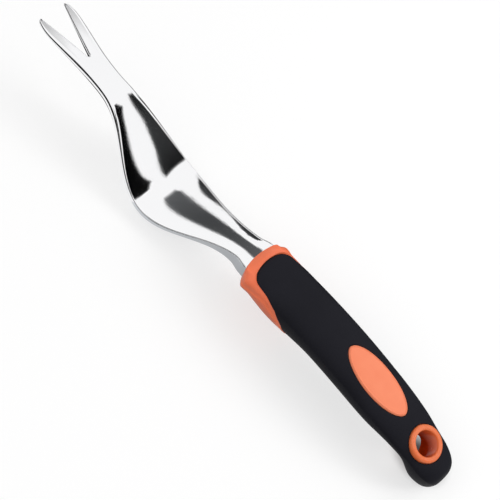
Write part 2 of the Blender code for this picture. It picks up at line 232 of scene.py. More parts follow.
eye = {
    "x": 0.1262,
    "bore": 0.0068,
    "wall": 0.0016,
    "flange": 0.0100,
    "proud": 0.0010,
    "seat": 0.0036,
    "innerRound": 0.0010,
    "outerRound": 0.0014,
    "endRound": 0.0004,
    "seatDrop": 0.0002,      # least height of the step in the core
    "roundSpots": 6,
    "turns": 96,
    "wallRows": 8,
    "tolerance": 0.00001,
    "seekSteps": 30,         # for the height at which the wall meets a face
    "seekShare": 0.8,
}
eyeLean = math.asin((eye["x"] - handle["archPeakX"]) / handle["archRadius"])
eyeFrame = Matrix.Translation((eye["x"], 0.0, topLine(eye["x"]))) @ Matrix.Rotation(eyeLean, 4, "Y")

mount = frame["record"]["mounts"][0]
tilt = math.atan2(mount["axis"][0], mount["axis"][2]) - eyeLean
rimMiddle = (eye["bore"] + eye["flange"]) / 2.0
toFrame = Matrix.Rotation(tilt, 4, "Y")
toFrame.translation = Vector(mount["pos_m"]) - toFrame @ eyeFrame @ Vector((0.0, rimMiddle, eye["proud"]))
print("tool lies at a tilt of %.2f degrees" % math.degrees(tilt))


def roundEye(radius, angle, height):
    return eyeFrame @ Vector((radius * math.cos(angle), radius * math.sin(angle), height))


def eyeSpot(radius, angle, surface):  # where a line along the eye's wall meets a face of the handle
    height = 0.0
    for _ in range(eye["seekSteps"]):
        spot = roundEye(radius, angle, height)
        height += (surface(spot.x, spot.y) - spot.z) * eye["seekShare"]
    return spot


def eyeRim(radius, surface):
    def rimSpot(spot):
        local = eyeFrame.inverted() @ spot
        return eyeSpot(radius, math.atan2(local.y, local.x), surface)
    return rimSpot


# materials

noiseSpan = (0.3, 0.7)       # most of a noise lies between these


def newMaterial(name, colour, roughness):
    material = bpy.data.materials.new(name)
    material.use_nodes = True
    nodes = material.node_tree.nodes
    shader = nodes["Principled BSDF"]
    shader.inputs["Base Color"].default_value = (*colour, 1.0)
    shader.inputs["Roughness"].default_value = roughness
    return material, nodes, material.node_tree.links, shader


def ownSpots(nodes, links, scale, shift=(0.0, 0.0, 0.0)):  # the piece's own coordinates
    coords = nodes.new("ShaderNodeTexCoord")
    mapping = nodes.new("ShaderNodeMapping")
    mapping.inputs["Location"].default_value = shift
    mapping.inputs["Scale"].default_value = scale
    links.new(coords.outputs["Object"], mapping.inputs["Vector"])
    return mapping.outputs["Vector"]


def grain(nodes, links, scale, detail, stretch=(1.0, 1.0, 1.0)):
    noise = nodes.new("ShaderNodeTexNoise")
    noise.inputs["Scale"].default_value = scale
    noise.inputs["Detail"].default_value = detail
    links.new(ownSpots(nodes, links, stretch), noise.inputs["Vector"])
    return noise.outputs["Fac"]


def spread(nodes, links, source, start, end, kind="LINEAR"):  # from one range of values to another
    reach = nodes.new("ShaderNodeMapRange")
    reach.interpolation_type = kind
    for socket, value in zip(reach.inputs[1:], start + end):
        socket.default_value = value
    links.new(source, reach.inputs["Value"])
    return reach.outputs["Result"]


def tint(nodes, links, source, dark, light):  # noise to a run of colour
    ramp = nodes.new("ShaderNodeValToRGB")
    for element, spot, colour in zip(ramp.color_ramp.elements, noiseSpan, (dark, light)):
        element.position = spot
        element.color = (*colour, 1.0)
    links.new(source, ramp.inputs["Fac"])
    return ramp.outputs["Color"]


def relief(nodes, links, shader, heights, depth):  # bumps laid over each other
    normal = None
    for source, strength in heights:
        bump = nodes.new("ShaderNodeBump")
        bump.inputs["Strength"].default_value = strength
        bump.inputs["Distance"].default_value = depth
        links.new(source, bump.inputs["Height"])
        if normal is not None:
            links.new(normal, bump.inputs["Normal"])
        normal = bump.outputs["Normal"]
    links.new(normal, shader.inputs["Normal"])


def combine(nodes, links, operation, *values):  # a Math node on sockets and plain numbers
    node = nodes.new("ShaderNodeMath")
    node.operation = operation
    for socket, value in zip(node.inputs, values):
        if isinstance(value, float):
            socket.default_value = value
        else:
            links.new(value, socket)
    return node.outputs["Value"]


# each noise has its scale and detail

aluminium = {
    "colour": (0.925, 0.925, 0.935),
    "roughness": 0.07,
    "roughRange": (0.045, 0.10),
    "cloud": (60.0, 3.0),    # uneven polish
    "cloudBump": 0.05,
    "strokes": (900.0, 4.0, (0.03, 1.0, 1.0)),     # polishing strokes, drawn out along the tool
    "strokeBump": 0.03,
    "bumpDepth": 0.0004,
}


def polishedAluminium():
    material, nodes, links, shader = newMaterial(
        "polished_aluminium", aluminium["colour"], aluminium["roughness"])
    shader.inputs["Metallic"].default_value = 1.0
    cloud = grain(nodes, links, *aluminium["cloud"])
    strokes = grain(nodes, links, *aluminium["strokes"])
    links.new(spread(nodes, links, cloud, noiseSpan, aluminium["roughRange"]), shader.inputs["Roughness"])
    bumps = ((cloud, aluminium["cloudBump"]), (strokes, aluminium["strokeBump"]))
    relief(nodes, links, shader, bumps, aluminium["bumpDepth"])
    return material


orangePlastic = {
    "colour": (0.95, 0.20, 0.085),
    "tints": ((0.93, 0.185, 0.075), (0.96, 0.215, 0.095)),
    "roughness": 0.34,
    "roughRange": (0.30, 0.40),
    "roughBy": "skin",
    "specular": 0.5,
    "cloud": (45.0, 2.0),
    "skin": (2400.0, 2.0),   # spark-eroded mould
    "bump": 0.08,
    "bumpDepth": 0.0001,
}
blackRubber = {
    "colour": (0.013, 0.013, 0.017),
    "tints": ((0.011, 0.011, 0.015), (0.015, 0.015, 0.020)),
    "roughness": 0.6,
    "roughRange": (0.52, 0.66),
    "roughBy": "cloud",
    "specular": 0.08,
    "cloud": (30.0, 4.0),
    "skin": (1800.0, 3.0),   # matte mould
    "bump": 0.25,
    "bumpDepth": 0.0002,
}
salmonPad = {
    "colour": (0.93, 0.25, 0.12),
    "tints": ((0.91, 0.235, 0.11), (0.94, 0.265, 0.13)),
    "roughness": 0.5,
    "roughRange": (0.42, 0.55),
    "roughBy": "skin",
    "specular": 0.5,
    "cloud": (90.0, 2.0),
    "skin": (1500.0, 2.0),   # soft to the touch
    "bump": 0.15,
    "bumpDepth": 0.0002,
}


def mouldedFinish(name, finish):  # clouded colour under a fine skin
    material, nodes, links, shader = newMaterial(name, finish["colour"], finish["roughness"])
    shader.inputs["Specular IOR Level"].default_value = finish["specular"]
    noises = {kind: grain(nodes, links, *finish[kind]) for kind in ("cloud", "skin")}
    uneven = noises[finish["roughBy"]]
    links.new(tint(nodes, links, noises["cloud"], *finish["tints"]), shader.inputs["Base Color"])
    links.new(spread(nodes, links, uneven, noiseSpan, finish["roughRange"]), shader.inputs["Roughness"])
    relief(nodes, links, shader, ((noises["skin"], finish["bump"]),), finish["bumpDepth"])
    return material


bush = {
    "colour": (0.79, 0.17, 0.05),
    "tints": ((0.76, 0.155, 0.045), (0.81, 0.185, 0.06)),
    "boreShadeColour": (0.42, 0.040, 0.004),
    "boreShadeLevels": (0.0150, 0.0235),     # painted shade colour below the first, tints above the second: the bore is painted darker with depth
    "roughness": 0.25,
    "roughRange": (0.2, 0.3),
    "specular": 0.5,
    "cloud": (120.0, 2.0),
    "bump": 0.05,
    "bumpDepth": 0.0003,
}


def orangeBush():  # painted shade: darker and less glossy down the bore
    material, nodes, links, shader = newMaterial("glossy_orange_bush", bush["colour"], bush["roughness"])
    cloud = grain(nodes, links, *bush["cloud"])
    split = nodes.new("ShaderNodeSeparateXYZ")
    links.new(ownSpots(nodes, links, (1.0, 1.0, 1.0)), split.inputs["Vector"])
    height = spread(nodes, links, split.outputs["Z"], bush["boreShadeLevels"], (0.0, 1.0))
    # mix from the painted bore shade deep down to the bush's tints at the rim
    boreShadeMix = nodes.new("ShaderNodeMix")
    boreShadeMix.data_type = "RGBA"
    boreShadeMix.inputs["A"].default_value = (*bush["boreShadeColour"], 1.0)
    links.new(height, boreShadeMix.inputs["Factor"])
    links.new(tint(nodes, links, cloud, *bush["tints"]), boreShadeMix.inputs["B"])
    # specular level fades down the bore too, painted shade in its reflections
    gloss = combine(nodes, links, "MULTIPLY", height, bush["specular"])
    links.new(gloss, shader.inputs["Specular IOR Level"])
    links.new(boreShadeMix.outputs["Result"], shader.inputs["Base Color"])
    links.new(spread(nodes, links, cloud, noiseSpan, bush["roughRange"]), shader.inputs["Roughness"])
    relief(nodes, links, shader, ((cloud, bush["bump"]),), bush["bumpDepth"])
    return material


# fork head: a half modelled over its notch, mirrored, then drawn out into the tang

head = {
    "length": 0.16399,
    "heelX": -0.0576,
    "waistFromHeel": 0.0614,
    "bendFromHeel": 0.0554,
    "neckX": -0.008,
    "rootX": -0.021,
    "tipHalf": 0.0116,
    "tipRound": 0.011,
    "tipEndHalf": 0.0086,
    "waistHalf": 0.0080,
    "heelHalf": 0.02089,
    "neckHalf": 0.0093,
    "bossHalf": 0.0111,
    "forkLevel": 0.00398,
    "heelLevel": -0.0197,
    "bossLevel": 0.0085,
    "riseX": 0.007,          # the neck's rise ends inside the collar
    "riseLevel": 0.0093,
    "tipThick": 0.0014,
    "tipLand": 0.0011,
    "land": 0.0034,
    "forkDepth": 0.0048,
    "heelDepth": 0.0085,
    "rootDepth": 0.0100,
    "bossDepth": 0.0138,
    "forkHollow": 0.0006,
    "heelHollow": 0.0040,
    "neckHollow": 0.0020,
    "bossHollow": 0.0019,
    "heelBow": 1.0,
    "bossBow": 0.26,
    "notchDepth": 0.0290,
    "notchRoot": 0.0008,
    "notchSlope": 0.225,
    "notchFlare": 0.9,
    "tipRim": 0.0022,        # width of the rounded rim, and its depth as a share of it
    "waistRim": 0.0032,
    "heelRim": 0.0012,
    "bossRim": 0.0012,
    "rimDrop": 0.85,
    "footRound": 0.0010,
    "notchRound": 0.0004,
    "notchFade": 0.0015,     # over which the notch's rounding runs out at its root
    "notchShare": 0.3,       # most that each rounding may take of what it stands on
    "lipShare": 0.2,
    "rimShare": 0.3,
    "dropShare": 0.72,
    "footShare": 0.22,
    "seat": 0.004,
    "weld": 0.000001,
    "tineColumns": 44,
    "tineCrowd": 1.8,        # power that draws the columns to the root of the notch
    "bodyColumns": 110,
    "bodyCrowd": 1.15,
    "faceSpots": 13,
    "cornerSpots": 5,
    "wallSpots": 2,
}
head["tipX"] = -head["length"]
head["waistX"] = head["heelX"] - head["waistFromHeel"]
head["notchX"] = head["tipX"] + head["notchDepth"] + head["notchRoot"]

tang = {
    "length": 0.070,
    "rise": 0.0085,
    "half": 0.0062,
    "tall": 0.0042,
    "squareness": 4.0,
    "taper": 0.72,
    "barbHeight": 0.0009,
    "barbs": 3,
    "pitch": 0.0175,
    "setback": 0.0052,
    "face": 0.0009,
    "run": 0.0105,
    "shoulder": 0.0004,
}


def headHalf(x):
    if x < head["waistX"]:
        into = clamp((head["tipX"] + head["tipRound"] - x) / head["tipRound"])
        corner = (head["tipHalf"] - head["tipEndHalf"]) * (1.0 - math.sqrt(1.0 - into ** 2))
        reach = (head["waistX"] - x) / (head["waistX"] - head["tipX"])
        return ease(head["waistHalf"], head["tipHalf"], reach) - corner
    if x < head["heelX"]:
        return ease(head["heelHalf"], head["waistHalf"], (head["heelX"] - x) / head["waistFromHeel"])
    if x < head["neckX"]:
        reach = (x - head["heelX"]) / (head["neckX"] - head["heelX"])
        return ease(head["heelHalf"], head["neckHalf"], reach)
    return ease(head["neckHalf"], head["bossHalf"], (x - head["neckX"]) / -head["neckX"])


def headRim(x):
    if x < head["heelX"]:
        return ease(head["heelLevel"], head["forkLevel"], (head["heelX"] - x) / head["bendFromHeel"])
    return ease(head["heelLevel"], head["riseLevel"], (x - head["heelX"]) / (head["riseX"] - head["heelX"]))


def notchHalf(x):
    run = head["notchX"] - x
    if run <= 0.0:
        return 0.0
    root = head["notchRoot"]
    if run < root:
        return math.sqrt(root ** 2 - (root - run) ** 2)
    return root + head["notchSlope"] * (run - root) + head["notchFlare"] * (run - root) ** 2


def headFaces(x):  # the top and the underside as heights over y
    half, rim = headHalf(x), headRim(x)
    tip, waist, heel, root = head["tipX"], head["waistX"], head["heelX"], head["rootX"]
    depth = along(((tip, head["tipThick"]), (waist, head["forkDepth"]), (heel, head["heelDepth"]),
                   (root, head["rootDepth"]), (0.0, head["bossDepth"])), x)
    land = along(((tip, head["tipLand"]), (waist, head["land"]), (0.0, head["land"])), x)
    hollow = along(((tip, 0.0), (waist, head["forkHollow"]), (heel, head["heelHollow"]),
                    (root, head["neckHollow"]), (0.0, head["bossHollow"])), x)
    power = along(((heel, head["heelBow"]), (0.0, head["bossBow"])), x)

    def top(y):
        return rim - hollow * (1.0 - clamp(abs(y) / half) ** 2)

    def under(y):
        return rim - land - (depth - land) * (1.0 - clamp(abs(y) / half) ** 2) ** power

    return half, rim, land, top, under


def headSection(x, grow=0.0):  # half a section, from the middle of the top round the rim to the underside
    half, rim, land, top, under = headFaces(x)
    half += grow
    inner = notchHalf(x)
    wall = top(inner) - under(inner)
    fade = clamp((head["notchX"] - x) / head["notchFade"])
    drop = min(head["notchRound"], head["notchShare"] * wall) * fade
    lip = min(head["notchRound"], head["lipShare"] * (half - inner))
    rimWide = along(((head["tipX"], head["tipRim"]), (head["waistX"], head["waistRim"]),
                     (head["heelX"], head["heelRim"]), (0.0, head["bossRim"])), x)
    rimWide = min(rimWide, head["rimShare"] * (half - inner))
    rimDrop = min(rimWide * head["rimDrop"], head["dropShare"] * land)
    foot = min(head["footRound"], head["footShare"] * land, rimWide)

    def face(height, side, edge):  # across one face, between the rounded edges
        spots = [Vector((x, inner, height(inner) - side * drop))]
        for i in range(head["faceSpots"]):
            t = math.sin(math.pi / 2.0 * i / (head["faceSpots"] - 1))
            y = inner + lip + (half - edge - inner - lip) * t
            spots.append(Vector((x, y, height(y) + side * grow)))
        return spots

    topFace = face(top, 1.0, rimWide)
    underFace = face(under, -1.0, foot)
    high = Vector((x, half, rim + grow))
    low = Vector((x, half, rim - land - grow))
    down = Vector((0.0, 0.0, -1.0))
    upper = roundCorner(topFace[-1], high, high + down * rimDrop, head["cornerSpots"])[1:]
    lower = roundCorner(low - down * foot, low, underFace[-1], head["cornerSpots"])[:-1]
    middle = [upper[-1].lerp(lower[0], (i + 1) / (head["wallSpots"] + 1)) for i in range(head["wallSpots"])]
    return topFace + upper + middle + lower + underFace[::-1]


def tangSpot(x, angle, size, grow=0.0):
    reach = (x - head["seat"]) / tang["length"]
    centre = head["bossLevel"] - head["bossDepth"] / 2.0
    centre += tang["rise"] * (1.0 - math.cos(math.pi / 2.0 * reach))
    power = 2.0 / tang["squareness"]
    return Vector((x, (tang["half"] * size + grow) * signedPower(math.cos(angle), power),
                   centre + (tang["tall"] * size + grow) * signedPower(math.sin(angle), power)))


def tangStations():  # place and size of each ring of the barbed tang
    stations = [(head["seat"] + tang["shoulder"], 1.0)]
    for i in range(1, tang["barbs"] + 1):
        foot = head["seat"] + tang["pitch"] * i - tang["setback"]
        plain = 1.0 - (1.0 - tang["taper"]) * i / (tang["barbs"] + 1)
        crest = plain + tang["barbHeight"] / tang["tall"]
        stations += [(foot, plain), (foot + tang["face"], crest), (foot + tang["run"], plain)]
    stations.append((head["seat"] + tang["length"], tang["taper"]))
    return stations


def headColumns():  # close together at the root of the notch
    columns = []
    for i in range(head["tineColumns"]):
        t = 1.0 - i / head["tineColumns"]
        columns.append(head["notchX"] + (head["tipX"] - head["notchX"]) * t ** head["tineCrowd"])
    for i in range(head["bodyColumns"] + 1):
        t = i / head["bodyColumns"]
        columns.append(head["notchX"] + (head["seat"] - head["notchX"]) * t ** head["bodyCrowd"])
    return columns


def makeForkHead():
    bm = bmesh.new()
    columns = headColumns()
    count = len(headSection(head["heelX"]))
    grid = bmesh.ops.create_grid(bm, x_segments=len(columns) - 1, y_segments=count - 1, size=0.5)["verts"]
    rows = {}
    for v in grid:
        i = round((v.co.x + 0.5) * (len(columns) - 1))
        j = round((v.co.y + 0.5) * (count - 1))
        rows[i, j] = v
    for i, x in enumerate(columns):
        for j, spot in enumerate(headSection(min(x, 0.0))):
            rows[i, j].co = Vector((x, spot.y, spot.z))
    tines = range(head["tineColumns"])
    upper = [bm.edges.get((rows[i, 0], rows[i + 1, 0])) for i in tines]
    lower = [bm.edges.get((rows[i, count - 1], rows[i + 1, count - 1])) for i in tines]
    bmesh.ops.bridge_loops(bm, edges=upper + lower)                  # side of the notch
    tip = [bm.edges.get((rows[0, j], rows[0, j + 1])) for j in range(count - 1)]
    tip.append(bm.edges.get((rows[0, 0], rows[0, count - 1])))
    bmesh.ops.contextual_create(bm, geom=tip)
    bmesh.ops.mirror(bm, geom=bm.verts[:] + bm.edges[:] + bm.faces[:], axis="Y", merge_dist=head["weld"])
    ring = walk([e for e in bm.edges if e.is_boundary])
    middle = Vector((0.0, 0.0, head["bossLevel"] - head["bossDepth"] / 2.0))
    angles = [math.atan2(v.co.z - middle.z, v.co.y) for v in ring]
    for x, size in tangStations():
        ring = growRing(bm, ring, [tangSpot(x, a, size) for a in angles])
    closeRing(bm, ring)
    finishPiece(bm, "fork_head_polished", "fork_head", polishedAluminium())


# the sleeve's front edge over the collar: angle down from the top line, and place along the tool

frontEdge = ((0.0, 0.0040), (25.0, 0.0050), (50.0, 0.0085), (57.0, 0.0110), (64.0, 0.0175), (90.0, 0.0260),
             (110.0, 0.0340), (180.0, 0.0430))


def fromTop(angle):  # degrees from the top line, either side
    return math.degrees(math.acos(max(-1.0, min(1.0, math.sin(angle)))))


def frontX(angle):
    return along(frontEdge, fromTop(angle))


# grip sleeve: a thick rubber skin with a window for the inlay and a way through for the eye

sleeve = {
    "columns": 96,
    "bodyRows": 72,
    "buttRows": 12,
    "buttLeft": 0.3,         # part of a row left at the butt, where the last ring closes
    "edgeRound": 0.0005,
    "inlayColumns": 46.0,    # degrees either side of the top line that the inlay's patch takes
    "eyeColumns": 60.0,
    "boreColumns": 48.0,
    "patchMargin": 0.0025,
    "holeSteps": 3,
}

inlay = {
    "x": 0.0860,
    "halfLength": 0.0220,
    "halfWidth": 0.0092,
    "pointed": 1.05,
    "edge": 0.0003,
    "proud": 0.0001,
    "sunk": 0.0002,
    "beadWide": 0.0008,      # fine bead all round
    "beadHigh": 0.00045,
    "turns": 96,
    "rings": 8,
    "edgeRings": 4,
    "beadRings": 6,
    "poleShare": 0.02,       # size of the smallest ring, which closes each face
}


def ovalPlan(angle, grow):
    x = inlay["x"] + (inlay["halfLength"] + grow) * math.cos(angle)
    return x, (inlay["halfWidth"] + grow) * signedPower(math.sin(angle), inlay["pointed"])


def ovalRim(grow, surface):
    def rimSpot(spot):
        angle = math.atan2(spot.y / inlay["halfWidth"], (spot.x - inlay["x"]) / inlay["halfLength"])
        x, y = ovalPlan(angle, grow)
        return Vector((x, y, surface(x, y)))
    return rimSpot


def skinRows(angles, inset, start):  # spots of each ring from a front edge to the butt
    end = handle["length"] - inset
    body = end - handle["buttRound"]
    rows = []
    for r in range(sleeve["bodyRows"]):
        share = r / sleeve["bodyRows"]
        rows.append([handleSpot(start(a) + (body - start(a)) * share, a, inset) for a in angles])
    for r in range(sleeve["buttRows"]):
        turn = math.pi / 2.0 * r / (sleeve["buttRows"] - sleeve["buttLeft"])
        x = body + handle["buttRound"] * math.sin(turn)
        rows.append([handleSpot(x, a, inset) for a in angles])
    return rows


def rowsBetween(rows, column, low, high):  # numbers of the rings that span a stretch of the tool
    places = [row[column].x for row in rows]
    first = max(i for i, x in enumerate(places) if x <= low)
    last = min(i for i, x in enumerate(places) if x >= high)
    return range(first, last + 1)


def columnsNear(angles, centre, reach):
    return [c for c, a in enumerate(angles) if math.cos(a - centre) >= math.cos(math.radians(reach))]


def cutHole(bm, rings, rows, angles, side, reach, front, back, inset, rim):
    # a hole in the top (1) or underside (-1), between two places along the tool
    centre = side * math.pi / 2.0
    columns = columnsNear(angles, centre, reach)
    middle = min(columns, key=lambda c: abs(angles[c] - centre))
    span = rowsBetween(rows, middle, front - sleeve["patchMargin"], back + sleeve["patchMargin"])
    return openHole(bm, rings, span, columns, rim, handleFace(side, inset), sleeve["holeSteps"])


def topHole(bm, rings, rows, angles, radius, inset):
    rim = eyeRim(radius, handleFace(1.0, inset))
    return cutHole(bm, rings, rows, angles, 1.0, sleeve["eyeColumns"],
                   eye["x"] - radius, eye["x"] + radius, inset, rim)


def underHole(bm, rings, rows, angles, radius, inset):
    surface = handleFace(-1.0, inset)
    front = eyeSpot(radius, math.pi, surface).x
    back = eyeSpot(radius, 0.0, surface).x
    return cutHole(bm, rings, rows, angles, -1.0, sleeve["boreColumns"],
                   front, back, inset, eyeRim(radius, surface))


def inlayHole(bm, rings, rows, angles, inset):
    half = inlay["halfLength"]
    rim = ovalRim(handle["gap"], handleFace(1.0, inset))
    return cutHole(bm, rings, rows, angles, 1.0, sleeve["inlayColumns"],
                   inlay["x"] - half, inlay["x"] + half, inset, rim)


def makeGripSleeve():
    bm = bmesh.new()
    front, angles = newRing(bm, sleeve["columns"])
    flange = eye["flange"] + handle["gap"]
    barrel = eye["bore"] + eye["wall"] + handle["gap"]
    rims = []
    for inset in (0.0, handle["wall"] - handle["gap"]):
        rows = skinRows(angles, inset, lambda a: frontX(a) + handle["gap"] / 2.0)
        if inset == 0.0:
            place(front, rows[0])
            rings = [front]
        else:
            rings = [growRing(bm, front, rows[0])]
        for spots in rows[1:]:
            rings.append(growRing(bm, rings[-1], spots))
        tail = rings[-1]
        rims.append((inlayHole(bm, rings, rows, angles, inset),
                     topHole(bm, rings, rows, angles, flange, inset),
                     underHole(bm, rings, rows, angles, barrel, inset)))
        closeRing(bm, tail)
    for outer, inner in zip(*rims):
        joinRings(bm, outer, inner)
    edges = ringEdges(bm, front)
    for outer in rims[0]:
        edges += ringEdges(bm, outer)
    roundEdges(bm, edges, sleeve["edgeRound"])
    rubber = mouldedFinish("black_rubber", blackRubber)
    finishPiece(bm, "grip_sleeve_rubber", "grip_sleeve", rubber)


# handle core: socket, front face, collar and guard, then the spine under the sleeve

collar = {
    "columns": 160,
    "outerRows": 26,
    "noseRows": 10,
    "faceRows": 3,
    "bulge": 0.0004,
    "lean": 0.22,            # the front leans forward at the top
    "leanLevel": 0.0030,
    "sweep": 15.0,           # and sweeps back at the sides
    "noseLength": 0.0056,    # rounded front of the collar
    "noseDraw": 0.0034,
    "nosePower": 1.7,
    "noseLeast": 0.0026,
    "noseGap": 0.0006,       # from its end to the sleeve's front edge, at least
    "drawStep": 0.0001,
    "faceRim": 0.0006,       # least width of the front face round the neck
    "beadRise": 0.0004,      # the collar's bead, then the guard a little below the rubber
    "beadStart": 0.0060,
    "beadEnd": 0.0110,
    "recess": 0.0003,
    "lipRise": 0.0005,       # thin lip along the tongue
    "lipWide": 0.0010,
    "lipReach": 62.0,        # degrees over which it fades, from a share of them on
    "lipFade": 0.6,
    "lipRound": 0.0004,
    "holeRound": 0.0003,
    "lobeRise": 0.0007,      # lower lobe of the guard stands proud of its upper part
    "lobeEdge": ((0.010, -11.0), (0.018, -2.0), (0.025, -7.0), (0.030, -14.0), (0.036, -26.0)),
    "lobeSoft": 2.0,         # degrees over which it rises
}


def lobe(x, angle):
    level = 90.0 - fromTop(angle)
    return collar["lobeRise"] * ease(0.0, 1.0, (along(collar["lobeEdge"], x) - level) / collar["lobeSoft"])


def lip(x, angle):
    near = 1.0 - (frontX(angle) - x) / collar["lipWide"]
    fade = fromTop(angle) / collar["lipReach"] - collar["lipFade"]
    return collar["lipRise"] * ease(0.0, 1.0, near) * ease(1.0, 0.0, fade)


def bead(x):
    run = (x - collar["beadStart"]) / (collar["beadEnd"] - collar["beadStart"])
    return ease(collar["beadRise"], -collar["recess"], run)


def neckOutline(grow):  # the neck's section by its angle, for the hole in the collar
    side = headSection(0.0, grow)
    centre = head["bossLevel"] - head["bossDepth"] / 2.0
    outline = [(math.atan2(spot.z - centre, spot.y), math.hypot(spot.z - centre, spot.y)) for spot in side]
    outline.sort()

    def reach(angle):
        level = math.asin(math.sin(angle))
        i = max(k for k in range(len(outline) - 1) if outline[k][0] <= level or k == 0)
        (a0, r0), (a1, r1) = outline[i], outline[i + 1]
        return r0 + (r1 - r0) * clamp((level - a0) / (a1 - a0))

    def spot(angle, x):
        return Vector((x, reach(angle) * math.cos(angle), centre + reach(angle) * math.sin(angle)))

    def room(angle, drawn):  # how far the front may be drawn in at an angle and still clear the neck
        while drawn > 0.0:
            edge = handleSpot(0.0, angle, drawn)
            turn = math.atan2(edge.z - centre, edge.y)
            if math.hypot(edge.z - centre, edge.y) > reach(turn) + collar["faceRim"]:
                return drawn
            drawn -= collar["drawStep"]
        return 0.0

    return spot, room


def frontShift(spot):
    return collar["lean"] * (collar["leanLevel"] - spot.z) + collar["sweep"] * spot.y ** 2


def collarSpot(x, angle, inset=0.0):
    spot = handleSpot(x, angle, inset)
    out = Vector((0.0, math.cos(angle), math.sin(angle)))
    return spot + out * (bead(x) + lobe(x, angle) + lip(x, angle))


def makeHandleCore():
    bm = bmesh.new()
    gap = handle["gap"]

    def backEdge(angle):
        return frontX(angle) - gap / 2.0

    ring, angles = newRing(bm, collar["columns"])
    socket = [(head["seat"] + tang["length"] + gap, tang["taper"]), tangStations()[-2],
              (head["seat"] + gap + tang["shoulder"], 1.0)]
    place(ring, [tangSpot(socket[0][0], a, socket[0][1], gap) for a in angles])
    closed = ring
    for x, size in socket[1:]:
        ring = growRing(bm, ring, [tangSpot(x, a, size, gap + tang["barbHeight"]) for a in angles])
    neck, room = neckOutline(gap)
    ring = growRing(bm, ring, [neck(a, head["seat"] + gap) for a in angles])
    hole = growRing(bm, ring, [neck(a, frontShift(neck(a, 0.0)) - collar["bulge"]) for a in angles])
    ring = hole
    drawn = [room(a, collar["noseDraw"]) for a in angles]
    outline = [collarSpot(0.0, a, d) for a, d in zip(angles, drawn)]
    for r in range(1, collar["faceRows"]):
        t = r / collar["faceRows"]
        spots = []
        for a, outer in zip(angles, outline):
            spot = neck(a, 0.0).lerp(outer, t)
            bulge = collar["bulge"] * math.cos(math.pi / 2.0 * t)
            spots.append(spot + Vector((frontShift(spot) - bulge, 0.0, 0.0)))
        ring = growRing(bm, ring, spots)
    noseStart = [frontShift(spot) for spot in outline]
    noseEnd = []
    for a, start in zip(angles, noseStart):
        end = max(collar["noseLength"], start + collar["noseLeast"])
        noseEnd.append(min(end, backEdge(a) - collar["noseGap"]))
    for r in range(collar["noseRows"]):
        t = r / collar["noseRows"]
        spots = []
        for a, d, start, end in zip(angles, drawn, noseStart, noseEnd):
            spots.append(collarSpot(start + (end - start) * t, a, d * (1.0 - t) ** collar["nosePower"]))
        ring = growRing(bm, ring, spots)
    for r in range(collar["outerRows"] + 1):
        t = r / collar["outerRows"]
        spots = [collarSpot(start + (backEdge(a) - start) * t, a) for a, start in zip(angles, noseEnd)]
        ring = growRing(bm, ring, spots)
    edge = ring
    rows = skinRows(angles, handle["wall"], backEdge)
    rings = [edge]
    for spots in rows:
        rings.append(growRing(bm, rings[-1], spots))
    tail = rings[-1]
    spine = rings[1:]
    barrel = eye["bore"] + eye["wall"] + gap
    upper = topHole(bm, spine, rows, angles, eye["flange"] + gap, handle["wall"])
    rim = [eyeFrame.inverted() @ v.co for v in upper]
    for radius in (eye["flange"] + gap, barrel):
        spots = []
        for spot in rim:
            level = min(spot.z - eye["seatDrop"], -eye["seat"])
            spots.append(roundEye(radius, math.atan2(spot.y, spot.x), level))
        upper = growRing(bm, upper, spots)
    lower = underHole(bm, spine, rows, angles, barrel, handle["wall"])
    joinRings(bm, upper, lower)
    closeRing(bm, tail)
    closeRing(bm, closed)
    roundEdges(bm, ringEdges(bm, edge), collar["lipRound"])
    roundEdges(bm, ringEdges(bm, hole), collar["holeRound"])
    plastic = mouldedFinish("orange_polypropylene", orangePlastic)
    finishPiece(bm, "handle_core_orange", "handle_core", plastic)


# thumb inlay: a pad that fills the sleeve's window, its edge rounded and a little proud

def makeThumbInlay():
    bm = bmesh.new()
    ring, angles = newRing(bm, inlay["turns"])
    top = handleFace(1.0, 0.0)
    floor = handleFace(1.0, handle["wall"] - handle["gap"])

    def ovalRing(share, grow, surface, lift):
        spots = []
        for a in angles:
            x, y = ovalPlan(a, grow)
            x = inlay["x"] + (x - inlay["x"]) * share
            spots.append(Vector((x, y * share, surface(x, y * share) + lift)))
        return spots

    place(ring, ovalRing(inlay["poleShare"], 0.0, floor, 0.0))
    closed = ring
    for r in range(1, inlay["rings"] + 1):
        ring = growRing(bm, ring, ovalRing(r / inlay["rings"], 0.0, floor, 0.0))
    ring = growRing(bm, ring, ovalRing(1.0, 0.0, top, -2.0 * inlay["sunk"]))
    for i in range(inlay["edgeRings"]):
        turn = math.pi / 2.0 * i / (inlay["edgeRings"] - 1)
        lift = -inlay["sunk"] + (inlay["proud"] + inlay["sunk"]) * math.sin(turn)
        ring = growRing(bm, ring, ovalRing(1.0, -inlay["edge"] * (1.0 - math.cos(turn)), top, lift))
    for i in range(1, inlay["beadRings"] + 1):
        t = i / inlay["beadRings"]
        lift = inlay["proud"] + inlay["beadHigh"] * math.sin(math.pi * t)
        ring = growRing(bm, ring, ovalRing(1.0, -inlay["edge"] - inlay["beadWide"] * t, top, lift))
    inner = -inlay["edge"] - inlay["beadWide"]
    for r in range(inlay["rings"] - 1, 0, -1):
        ring = growRing(bm, ring, ovalRing(r / inlay["rings"], inner, top, inlay["proud"]))
    ring = growRing(bm, ring, ovalRing(inlay["poleShare"], inner, top, inlay["proud"]))
    closeRing(bm, ring)
    closeRing(bm, closed)
    pad = mouldedFinish("salmon_pad", salmonPad)
    finishPiece(bm, "thumb_inlay_pad", "thumb_inlay", pad)


# hang eye: a turned bush with a rounded rim, its lower end flush with the underside

